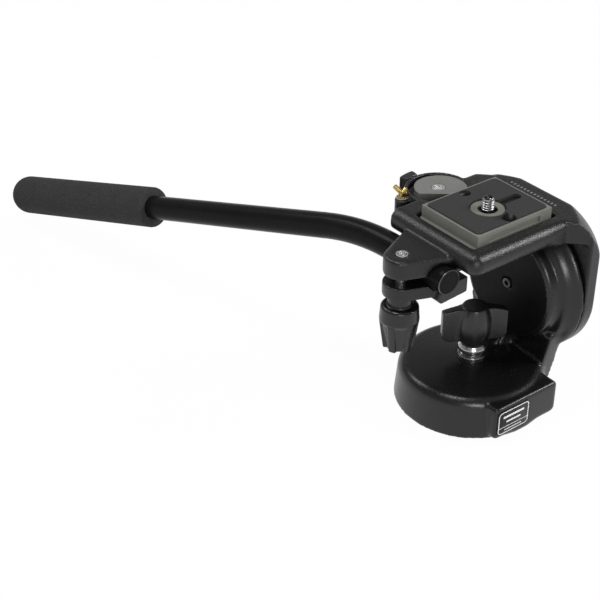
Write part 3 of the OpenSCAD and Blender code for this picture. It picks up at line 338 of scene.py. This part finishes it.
def dull_black(name, level):
    """A smooth black with little gloss: painted shade on the drum's inner face, and the plug's own black.
    """
    bare = Finish(name)
    colour = bare.tone(size=6 * mm, first=grey(level), second=grey(1.6 * level))
    roughness = bare.varied(size=3 * mm, low=0.42, high=0.52)
    grain = bare.clouds(size=0.3 * mm)
    return bare.surface(colour, roughness, grain, depth=0.01 * mm, gloss=0.1)


base_paint = crinkle_paint("base_paint", grain=0.5 * mm, depth=0.011 * mm, rough=0.3)
base = casting("base_housing", "base_casting", base_paint, voxel=0.85 * mm, rounds=5)
tilt_axis = Vector((0, 0, 62.4)) * mm
drum_face_r = 28.5 * mm
drum_face_turn = -0.9
drum_rim_r = drum_face_r + 1 * mm
drum_from = Vector((12, 0, 24)) * mm
drum_soft = 16
block_back = -29 * mm
block_high = 36 * mm
block_soft = 8
soften(base, drum_soft, lambda at: at.x > drum_from.x and at.z > drum_from.z
       and (at.yz - tilt_axis.yz).length > drum_rim_r)
soften(base, block_soft, lambda at: at.y < block_back and at.z < block_high)
# Painted shade: the drum's inner face gets a darker, duller black.
base.data.materials.append(dull_black("drum_face_shade", level=0.0015))
for face in base.data.polygons:
    off_axis = (face.center - tilt_axis).yz.length
    if face.normal.x < drum_face_turn and off_axis < drum_face_r and face.center.x > 0:
        face.material_index = 1


# Label
# A thin dark plate stuck in a shallow seat on the base's front block. It is printed with
# a plain pale border, one dividing line and three plain bars.
label_low, label_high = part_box("label_plate")
label_middle = (label_low + label_high) / 2
label_half = (label_high - label_low) / 2
label_corner = 2 * mm
label_edge = 0.15 * mm
border_in = 0.7 * mm
border_w = 0.55 * mm
divider_up = 0.3
divider_w = border_w * 2 / 3
# Each bar's height and half length, as shares of the plate's, and its thickness
label_bars = ((0.72, 0.66, 1.3 * mm), (0.5, 0.45, 1.1 * mm), (0.17, 0.55, 0.5 * mm))


def select(piece, choose):
    """Selects the edges of a piece, in edit mode, whose two ends a rule accepts."""
    bpy.ops.object.mode_set(mode="EDIT")
    bpy.ops.mesh.select_mode(type="EDGE")
    bpy.ops.mesh.select_all(action="DESELECT")
    bpy.ops.object.mode_set(mode="OBJECT")
    places = [corner.co for corner in piece.data.vertices]
    for edge in piece.data.edges:
        edge.select = choose(*(places[end] for end in edge.vertices))
    bpy.ops.object.mode_set(mode="EDIT")


def print_finish():
    """Dark film with the pale border, line and bars, which stand a little proud."""
    ink_share = 0.9
    wave_share = 0.3
    film = Finish("label_print")
    across, _, upright = film.axes()
    over = abs(across - label_middle.x) - (label_half.x - border_in - label_corner)
    up = abs(upright - label_middle.z) - (label_half.z - border_in - label_corner)
    over_out = over.maths("MAXIMUM", 0)
    up_out = up.maths("MAXIMUM", 0)
    round_out = (over_out * over_out + up_out * up_out).maths("SQRT")
    flat_in = over.maths("MAXIMUM", up).maths("MINIMUM", 0)
    away = round_out + flat_in - label_corner
    border = abs(away) < border_w / 2
    divider_z = label_low.z + divider_up * 2 * label_half.z
    divider = (abs(upright - divider_z) < divider_w / 2) * (away < 0)
    ink = border.maths("MAXIMUM", divider)
    for bar_up, bar_half, bar_w in label_bars:
        inside = abs(across - label_middle.x) < bar_half * label_half.x
        bar_z = label_low.z + bar_up * 2 * label_half.z
        ink = ink.maths("MAXIMUM", inside * (abs(upright - bar_z) < bar_w / 2))
    colour = film.tone(size=6 * mm, first=grey(0.008), second=grey(0.013))
    colour = film.mix(ink * ink_share, colour, grey(0.8))
    roughness = film.varied(size=4 * mm, low=0.3, high=0.42)
    relief = ink + film.clouds(size=1.5 * mm) * wave_share
    return film.surface(colour, roughness, relief, depth=0.02 * mm, gloss=0.2)


bpy.ops.object.select_all(action="DESELECT")
bpy.ops.mesh.primitive_cube_add(size=1, location=label_middle)
label = bpy.context.object
label.name = "label_film"
label.scale = 2 * label_half
bpy.ops.object.transform_apply()
select(label, lambda one, other: abs(one.y - other.y) > label_half.y)
bpy.ops.mesh.bevel(offset=label_corner, segments=6, affect="EDGES")
select(label, lambda one, other: one.y < label_middle.y and other.y < label_middle.y)
bpy.ops.mesh.bevel(offset=label_edge, segments=2, affect="EDGES")
bpy.ops.object.mode_set(mode="OBJECT")
bpy.ops.object.shade_smooth_by_angle(angle=math.radians(40))
stand_for(label, "label_plate", print_finish())


# Wing knobs
# Moulded black plastic knobs with two wings that run into a barrel, one on the base and one
# behind the side plate. Each sits on a plated ferrule with a groove, over a plated washer.
sharp_angle = math.radians(30)
flat_angle = math.radians(1)


def plastic_finish(name, level, rough):
    """Moulded plastic or rubber, with a faint grain."""
    plastic = Finish(name)
    colour = plastic.tone(size=9 * mm, first=grey(level), second=grey(1.5 * level))
    roughness = plastic.varied(size=5 * mm, low=rough - 0.05, high=rough + 0.07)
    grain = plastic.clouds(size=0.35 * mm)
    return plastic.surface(colour, roughness, grain, depth=0.012 * mm)


def plating(name, colour, rough, wear):
    """Bare or plated metal, with faint smudges and fine marks."""
    metal = Finish(name)
    smudge = metal.clouds(size=4 * mm, detail=4)
    tone = metal.mix(smudge, colour, tuple(part * wear for part in colour[:3]) + (1,))
    roughness = metal.ramp(smudge, *cloud_span, low=rough, high=1.8 * rough)
    marks = metal.clouds(size=0.25 * mm)
    return metal.surface(tone, roughness, marks, depth=0.003 * mm, metal=1)


def edged(node, name, finish, edge):
    """A turned, milled or pressed solid, with a fine bevel on each sharp edge."""
    piece = copy_of(node, name)
    bpy.ops.object.mode_set(mode="EDIT")
    bpy.ops.mesh.select_all(action="SELECT")
    bpy.ops.mesh.dissolve_limited(angle_limit=flat_angle)
    bpy.ops.object.mode_set(mode="OBJECT")
    work(piece, "BEVEL", width=edge, segments=2, limit_method="ANGLE", angle_limit=sharp_angle)
    bpy.ops.object.shade_smooth_by_angle(angle=sharp_angle)
    work(piece, "WEIGHTED_NORMAL", keep_sharp=True)
    stand_for(piece, node, finish)
    return piece


knob_plastic = plastic_finish("knob_plastic", level=0.008, rough=0.3)
chrome = plating("chrome", grey(0.5), rough=0.17, wear=0.8)
dark_steel = plating("dark_steel", grey(0.1), rough=0.3, wear=0.7)
for lock in ("pan", "tilt"):
    casting(f"{lock}_lock_knob", f"{lock}_wing_knob", knob_plastic, voxel=0.4 * mm, rounds=6)
    edged(f"{lock}_lock_ferrule", f"{lock}_ferrule", chrome, edge=0.3 * mm)
    edged(f"{lock}_washer", f"{lock}_knob_washer", chrome, edge=0.2 * mm)
edged("axle_screw", "axle_screw_head", dark_steel, edge=0.25 * mm)


# Tilt bracket
# The platform, its round rims, the side plate and the bar clamp's ear are one aluminium
# casting with a deeper crinkle. A row of plain light ticks is printed beside the plate.
platform_left = -33.3 * mm
platform_front = -30.5 * mm
platform_low = 97.5 * mm
platform_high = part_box("tilt_bracket")[1].z
tick_x = 36.8 * mm
tick_long = 1.5 * mm
tick_pitch = 2.4 * mm
tick_share = 0.45
tick_from = -15 * mm
tick_to = 18.5 * mm
tick_skin = 0.6 * mm
tick_ink = 0.8


def ticks(paint):
    """The share of ink on the printed ticks of the platform, 0 elsewhere."""
    x, y, z = paint.axes()
    across = abs(x - tick_x) < tick_long / 2
    along = (y > tick_from) * (y < tick_to) * ((y * (1 / tick_pitch)).maths("FRACT") < tick_share)
    return across * along * (abs(z - platform_high) < tick_skin) * tick_ink


bracket_paint = crinkle_paint("bracket_paint", grain=0.4 * mm, depth=0.04 * mm, rough=0.3, marks=ticks)
bracket = casting("tilt_bracket", "bracket_casting", bracket_paint, voxel=0.75 * mm, rounds=4)

# The front edge is drawn in to a half-round bead, which fades out towards the side plate
bead_r = (platform_high - platform_low) / 2
bead_end = 18 * mm
bead_slack = 1 * mm
edge_r = 4.2 * mm
web_start = 28 * mm
ear_front = -17 * mm
for corner in bracket.data.vertices:
    at = corner.co
    share = min((web_start - at.x) / (web_start - bead_end), 1)
    if share < 0 or at.y > ear_front or at.z < platform_low - bead_slack:
        continue
    radius = edge_r + (bead_r - edge_r) * share if at.z > platform_low + bead_r else bead_r * share
    core = Vector((max(at.x, platform_left + radius), max(at.y, platform_front + radius),
                   min(max(at.z, platform_low + radius), platform_high - radius)))
    out = at - core
    if out.length > radius:
        corner.co = core + out * (radius / out.length)

ear_back = 34 * mm
ear_hole = Vector((-50.4, 2.4)) * mm
ear_hole_r = 6 * mm
ear_soft = 18
soften(bracket, ear_soft, lambda at: at.x < platform_left and at.y < ear_back
       and (at.xy - ear_hole).length > ear_hole_r)


# Quick-release plate
# A cast alloy plate in a warm grey coat, with a dark rubber pad let into its top. The camera
# screw has a real thread, and a sprung pin beside it keeps the camera from turning.
pad_low, pad_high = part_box("plate_pad")
pad_rim = 1.2 * mm


def slot_shade_mask(coat):
    """1 under the pad, where the plate shows through the pad's slots and is painted dark as shade, 0
    elsewhere.
    """
    middle = (pad_low + pad_high) / 2
    half = (pad_high - pad_low) / 2
    x, y, _ = coat.axes()
    return (abs(x - middle.x) < half.x - pad_rim) * (abs(y - middle.y) < half.y - pad_rim)


def plate_finish(name, slot_shade=None):
    """Warm grey coat with a fine grain, with painted shade where a mask says so."""
    warm_grey = (0.155, 0.156, 0.14, 1)
    worn_grey = (0.195, 0.196, 0.175, 1)
    coat = Finish(name)
    colour = coat.tone(size=12 * mm, first=warm_grey, second=worn_grey, detail=3)
    if slot_shade:
        # Painted shade: dark grey under the pad's slots.
        colour = coat.mix(slot_shade(coat), colour, grey(0.012))
    roughness = coat.varied(size=3 * mm, low=0.38, high=0.5)
    grain = coat.clouds(size=0.3 * mm, detail=3)
    return coat.surface(colour, roughness, grain, depth=0.012 * mm, gloss=0.25, metal=0.2)


def pad_finish():
    """Dark rubber with a fine grain and a few paler flecks."""
    fleck_r = 0.12
    fleck_share = 0.35
    rubber = Finish("pad_rubber")
    grain = rubber.cells(size=0.55 * mm)
    flecks = rubber.cells(size=1.6 * mm) < fleck_r
    colour = rubber.tone(size=1.2 * mm, first=grey(0.027), second=grey(0.04), detail=4)
    colour = rubber.mix(flecks * fleck_share, colour, grey(0.08))
    roughness = rubber.ramp(grain, start=0.1, end=0.6, low=0.7, high=0.9)
    return rubber.surface(colour, roughness, grain, depth=0.06 * mm, gloss=0.15)


steel = plating("steel", grey(0.32), rough=0.24, wear=0.8)
pin_black = plastic_finish("pin_black", level=0.014, rough=0.2)
edged("quick_plate", "plate_body", plate_finish("plate_coat", slot_shade_mask), edge=0.6 * mm)
edged("plate_pad", "rubber_pad", pad_finish(), edge=0.25 * mm)
edged("screw_ring", "camera_screw_ring", plate_finish("ring_coat"), edge=0.2 * mm)
edged("anti_twist_pin", "twist_pin_stud", pin_black, edge=0.35 * mm)

screw_low, screw_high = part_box("camera_screw")
screw_axis = (screw_low + screw_high) / 2
thread_gap = 0.2 * mm
thread_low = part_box("screw_ring")[1].z + thread_gap
thread_lap = 0.1 * mm
thread_r = 3.17 * mm
thread_core_r = 2.5 * mm
thread_pitch = 1.27 * mm
thread_flat = 0.16 * mm
thread_steps = 48
spare_turns = 2
point_h = 0.7 * mm
point_share = 0.78


def cut_flat(height, keep_below):
    """Cuts the piece at hand level at a height, in edit mode, and closes the cut."""
    bpy.ops.mesh.select_all(action="SELECT")
    bpy.ops.mesh.bisect(plane_co=(0, 0, height), plane_no=(0, 0, 1), use_fill=True,
                        clear_outer=keep_below, clear_inner=not keep_below)


bpy.ops.object.select_all(action="DESELECT")
bpy.ops.mesh.primitive_plane_add(size=1, location=(0, 0, 0))
thread = bpy.context.object
thread.name = "camera_screw_thread"
turns = math.ceil((screw_high.z - thread_low) / thread_pitch) + spare_turns
start_z = thread_low - thread_pitch
for corner, (out, up) in zip(thread.data.vertices, (
    (thread_core_r, 0), (thread_r, (thread_pitch - thread_flat) / 2),
    (thread_core_r, thread_pitch), (thread_r, (thread_pitch + thread_flat) / 2),
)):
    corner.co = (out, 0, start_z + up)
select(thread, lambda one, other: abs(one.x - other.x) < merge_gap and one.x < thread_r - merge_gap)
bpy.ops.mesh.delete(type="EDGE_FACE")
bpy.ops.object.mode_set(mode="OBJECT")
work(thread, "SCREW", screw_offset=thread_pitch, iterations=turns,
     steps=thread_steps, render_steps=thread_steps)
bpy.ops.object.mode_set(mode="EDIT")
bpy.ops.mesh.select_all(action="SELECT")
bpy.ops.mesh.remove_doubles(threshold=merge_gap)
cut_flat(screw_high.z, keep_below=True)
cut_flat(thread_low, keep_below=False)
bpy.ops.mesh.select_all(action="SELECT")
bpy.ops.mesh.normals_make_consistent(inside=False)
select(thread, lambda one, other: min(one.z, other.z) > screw_high.z - point_h)
bpy.ops.transform.resize(value=(point_share, point_share, 1), center_override=(0, 0, screw_high.z))
bpy.ops.mesh.select_all(action="SELECT")
bpy.ops.transform.translate(value=(screw_axis.x, screw_axis.y, 0))
bpy.ops.object.mode_set(mode="OBJECT")
bpy.ops.object.shade_smooth_by_angle(angle=sharp_angle)
screw = copy_of("camera_screw", "camera_screw_body")
bpy.ops.object.mode_set(mode="EDIT")
cut_flat(thread_low + thread_lap, keep_below=True)
bpy.ops.object.mode_set(mode="OBJECT")
bpy.ops.object.shade_smooth_by_angle(angle=sharp_angle)
thread.select_set(True)
bpy.ops.object.join()
stand_for(screw, "camera_screw", steel)


# Lock of the plate
# A grey cam disc, held by a cross-slot screw, presses the plate home. Its lever is moulded in
# black plastic. The turned brass catch beside it, in a plated collar, stops the lever.
def cam_finish():
    """Grey coat with a fine grain."""
    cam_grey = (0.125, 0.126, 0.115, 1)
    worn_grey = (0.165, 0.166, 0.152, 1)
    coat = Finish("cam_coat")
    colour = coat.tone(size=5 * mm, first=cam_grey, second=worn_grey, detail=3)
    roughness = coat.varied(size=2 * mm, low=0.36, high=0.5)
    grain = coat.clouds(size=0.4 * mm)
    return coat.surface(colour, roughness, grain, depth=0.015 * mm, gloss=0.35)


brass = plating("brass", (0.66, 0.47, 0.17, 1), rough=0.2, wear=0.75)
bright_zinc = plating("bright_zinc", grey(0.8), rough=0.26, wear=0.9)
edged("cam_disc", "cam_plate", cam_finish(), edge=0.5 * mm)
edged("cam_screw", "cam_cross_screw", bright_zinc, edge=0.2 * mm)
casting("lock_lever", "lever", knob_plastic, voxel=0.35 * mm, rounds=14)
edged("safety_catch", "brass_catch", brass, edge=0.3 * mm)

collar_at = Vector((-17, 41.5, 107.6)) * mm
collar_r = 3.3 * mm
collar_h = 0.8 * mm
collar_wall = 0.95 * mm
collar_edge = 0.2 * mm
level_turn = 0.5
bpy.ops.object.select_all(action="DESELECT")
bpy.ops.mesh.primitive_cylinder_add(vertices=48, radius=collar_r, depth=collar_h,
                                    location=collar_at + Vector((0, 0, collar_h / 2)))
collar = bpy.context.object
collar.name = "catch_collar"
bpy.ops.object.transform_apply()
bpy.ops.object.mode_set(mode="EDIT")
bpy.ops.mesh.select_mode(type="FACE")
bpy.ops.mesh.select_all(action="DESELECT")
bpy.ops.object.mode_set(mode="OBJECT")
for face in collar.data.polygons:
    face.select = abs(face.normal.z) > level_turn
bpy.ops.object.mode_set(mode="EDIT")
bpy.ops.mesh.inset(thickness=collar_wall, use_individual=True)
bpy.ops.mesh.bridge_edge_loops()
bpy.ops.object.mode_set(mode="OBJECT")
work(collar, "BEVEL", width=collar_edge, segments=2, limit_method="ANGLE", angle_limit=sharp_angle)
bpy.ops.object.shade_smooth_by_angle(angle=sharp_angle)
collar.data.materials.append(chrome)
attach(collar, body_of["tilt_bracket"])


# Bar clamp
# The lower jaw is a small casting under the bracket's ear. A knob moulded with ribs turns the
# plated clamp screw in a plated insert, over a plated washer.
ribbed_plastic = plastic_finish("ribbed_plastic", level=0.004, rough=0.26)
casting("clamp_jaw", "jaw_casting", bracket_paint, voxel=0.4 * mm, rounds=14)
casting("clamp_knob", "ribbed_knob", ribbed_plastic, voxel=0.35 * mm, rounds=4)
edged("clamp_insert", "ear_insert", bright_zinc, edge=0.25 * mm)
edged("clamp_washer", "jaw_washer", chrome, edge=0.2 * mm)
edged("clamp_screw", "jaw_screw", bright_zinc, edge=0.3 * mm)


# Pan bar
# A bent aluminium tube in gloss black, closed by a plastic plug whose bevelled rim gets a grey
# plated finish as a painted highlight. A thick foam sleeve with a round end is pushed over its far end.
def tube_finish():
    """Gloss black lacquer that lies in faint waves."""
    lacquer = Finish("tube_gloss")
    colour = lacquer.tone(size=40 * mm, first=grey(0.006), second=grey(0.009))
    roughness = lacquer.varied(size=8 * mm, low=0.24, high=0.32)
    waves = lacquer.clouds(size=1.8 * mm)
    return lacquer.surface(colour, roughness, waves, depth=0.01 * mm, gloss=0.06)


def foam_finish():
    """Dark foam with open pores, whose middles are painted darker as shade."""
    foam = Finish("grip_foam")
    pores = foam.ramp(foam.cells(size=0.8 * mm), start=0.12, end=0.5)
    fine = foam.clouds(size=0.5 * mm, detail=4)
    colour = foam.tone(size=14 * mm, first=grey(0.032), second=grey(0.044), detail=3)
    # Painted shade: the pores' middles are darker.
    colour = foam.mix(pores, grey(0.012), colour)
    roughness = foam.ramp(fine, start=0.2, end=0.8, low=0.8, high=0.95)
    return foam.surface(colour, roughness, pores + fine, depth=0.12 * mm, gloss=0.15)


edged("pan_bar", "bar_tube", tube_finish(), edge=0.5 * mm)
plug_flat_turn = -0.95
plug_side_turn = -0.3
plug = edged("bar_end_plug", "tube_plug", dull_black("plug_black", level=0.003), edge=0.6 * mm)
# Painted highlight: a grey plated finish on the plug's bevel gives its bright rim.
plug.data.materials.append(plating("plug_rim_highlight", grey(0.14), rough=0.22, wear=0.7))
for face in plug.data.polygons:
    if plug_flat_turn < face.normal.y < plug_side_turn:
        face.material_index = 1

bend_at = Vector((-36.6, 21.2, 93)) * mm
bend_r = 150 * mm
bend_angle = math.radians(20)
bend_roll = Matrix.Rotation(math.radians(40), 3, "Y")
leg_l = 269 * mm
grip_from = 137 * mm
grip_r = 12 * mm
grip_bore_r = 7.05 * mm
grip_soft = 0.8 * mm
soft_step = 0.7
grip_rings = 24
bend_drop = bend_r * (1 - math.cos(bend_angle))
leg_start = bend_at + bend_roll @ Vector((0, bend_r * math.sin(bend_angle), -bend_drop))
leg_axis = bend_roll @ Vector((0, math.cos(bend_angle), -math.sin(bend_angle)))
grip_ball = leg_start + leg_axis * (leg_l - grip_r)
grip_l = leg_l - grip_r - grip_from


def draw_out(along, scale=1):
    """Draws the open rim of the piece at hand out along its axis, in edit mode, and scales the new rim."""
    bpy.ops.mesh.extrude_region_move(TRANSFORM_OT_translate={"value": (0, 0, along)})
    bpy.ops.transform.resize(value=(scale, scale, 1))


bpy.ops.object.select_all(action="DESELECT")
bpy.ops.mesh.primitive_uv_sphere_add(segments=72, ring_count=36, radius=grip_r)
grip = bpy.context.object
grip.name = "foam_grip"
bpy.ops.object.mode_set(mode="EDIT")
bpy.ops.mesh.select_mode(type="VERT")
bpy.ops.mesh.select_all(action="SELECT")
bpy.ops.mesh.bisect(plane_co=(0, 0, 0), plane_no=(0, 0, 1), clear_inner=True)
for _ in range(grip_rings):
    draw_out(-(grip_l - grip_soft) / grip_rings)
draw_out(-grip_soft * soft_step, 1 - (1 - soft_step) * grip_soft / grip_r)
draw_out(-grip_soft * (1 - soft_step), 1 - soft_step * grip_soft / grip_r)
draw_out(0, grip_bore_r / (grip_r - grip_soft))
draw_out(grip_l)
bpy.ops.mesh.edge_face_add()
bpy.ops.mesh.select_all(action="SELECT")
bpy.ops.mesh.normals_make_consistent(inside=False)
bpy.ops.object.mode_set(mode="OBJECT")
grip.location = grip_ball
grip.rotation_euler = leg_axis.to_track_quat("Z", "Y").to_euler()
bpy.ops.object.transform_apply()
bpy.ops.object.shade_smooth_by_angle(angle=math.radians(50))
stand_for(grip, "bar_grip", foam_finish())


# Inner works
# Bearings, drag rings, springs and screws inside the casting keep their solids, in plain bronze,
# nylon, rubber, steel and painted metal. The pin's spring is a copy.
def nylon_finish():
    """Pale moulded nylon."""
    pale_nylon = (0.6, 0.58, 0.5, 1)
    paler_nylon = (0.7, 0.68, 0.6, 1)
    nylon = Finish("nylon")
    colour = nylon.tone(size=6 * mm, first=pale_nylon, second=paler_nylon)
    roughness = nylon.varied(size=2 * mm, low=0.4, high=0.5)
    grain = nylon.clouds(size=1 * mm)
    return nylon.surface(colour, roughness, grain, depth=0.01 * mm)


inner = {
    "black_paint": base_paint,
    "steel": steel,
    "bronze": plating("bronze", (0.5, 0.34, 0.16, 1), rough=0.28, wear=0.75),
    "nylon": nylon_finish(),
    "seal_rubber": plastic_finish("seal_rubber", level=0.02, rough=0.7),
    "cam_grey": plating("rotor_metal", grey(0.4), rough=0.32, wear=0.8),
}
coil = copy_of("pin_spring", "pin_coil")
bpy.ops.object.shade_smooth_by_angle(angle=math.radians(60))
stand_for(coil, "pin_spring", steel)
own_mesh(coil)
for node, solid in solids.items():
    if slot_of[node] in inner:
        solid.data.materials.clear()
        solid.data.materials.append(inner[slot_of[node]])
